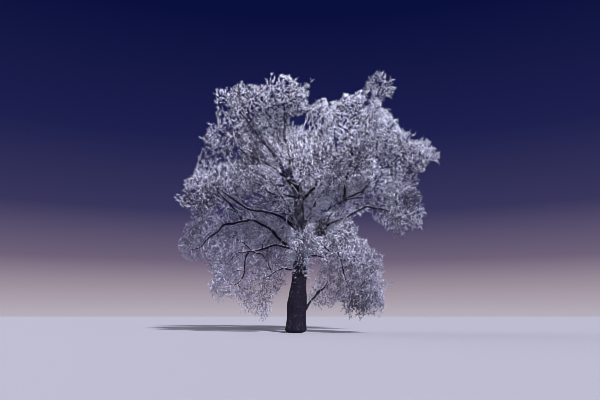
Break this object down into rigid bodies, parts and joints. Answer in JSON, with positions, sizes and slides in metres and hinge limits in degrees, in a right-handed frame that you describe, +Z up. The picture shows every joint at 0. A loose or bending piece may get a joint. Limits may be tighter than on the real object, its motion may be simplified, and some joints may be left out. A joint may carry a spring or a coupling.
{
  "type": "bare winter tree",
  "caption": "Large bare broadleaved tree in winter, with a thick flared trunk, long spreading and arching boughs, and a wide crown of hanging, frosted twigs.",
  "frame": {"origin": "middle of the trunk's flat cut at ground level", "axes": "+Z up the trunk, -Y towards the side seen in the picture, +X to the right seen from there"},
  "size_m": [26.4554, 23.4836, 26.6367],
  "materials": {
    "trunk_bark": "dark, rough, deeply furrowed bark with a dusting of frost",
    "bough_bark": "dark ridged bark with frost lying along the top",
    "frosted_twigs": "matt white hoar frost on thin dark twigs"
  },
  "bodies": {
    "root": {"back_crown_bough": "bough_bark", "back_crown_mass": "frosted_twigs", "back_left_bough": "bough_bark", "back_left_mass": "frosted_twigs", "back_low_left_bough": "bough_bark", "back_low_left_mass": "frosted_twigs", "back_low_right_bough": "bough_bark", "back_low_right_mass": "frosted_twigs", "back_middle_bough": "bough_bark", "back_middle_mass": "frosted_twigs", "back_right_bough": "bough_bark", "back_right_mass": "frosted_twigs", "centre_bough": "bough_bark", "centre_mass": "frosted_twigs", "far_right_bough": "bough_bark", "far_right_mass": "frosted_twigs", "front_fork_mass": "frosted_twigs", "front_left_bough": "bough_bark", "front_left_mass": "frosted_twigs", "front_low_bough": "bough_bark", "front_middle_bough": "bough_bark", "front_middle_mass": "frosted_twigs", "front_right_bough": "bough_bark", "front_right_mass": "frosted_twigs", "inner_left_mass": "frosted_twigs", "left_arch_bough": "bough_bark", "left_arch_end_bough": "bough_bark", "left_arch_mass": "frosted_twigs", "left_arch_riser_bough": "bough_bark", "left_foot_bough": "bough_bark", "left_hanging_mass": "frosted_twigs", "left_long_bough": "bough_bark", "left_low_bough": "bough_bark", "left_rising_bough": "bough_bark", "left_shoulder_mass": "frosted_twigs", "left_thin_bough": "bough_bark", "low_left_mass": "frosted_twigs", "low_right_mass": "frosted_twigs", "middle_leader_bough": "bough_bark", "middle_left_mass": "frosted_twigs", "right_crest_mass": "frosted_twigs", "right_crook_bough": "bough_bark", "right_fall_mass": "frosted_twigs", "right_falling_bough": "bough_bark", "right_foot_bough": "bough_bark", "right_fork_bough": "bough_bark", "right_great_bough": "bough_bark", "right_hanging_mass": "frosted_twigs", "right_middle_mass": "frosted_twigs", "right_peak_mass": "frosted_twigs", "right_reaching_bough": "bough_bark", "right_rising_bough": "bough_bark", "right_shoulder_mass": "frosted_twigs", "right_sprig_mass": "frosted_twigs", "right_weeping_mass": "frosted_twigs", "top_left_mass": "frosted_twigs", "top_middle_mass": "frosted_twigs", "trunk": "trunk_bark", "upper_left_bough": "bough_bark", "upper_left_mass": "frosted_twigs"}
  },
  "joints": []
}
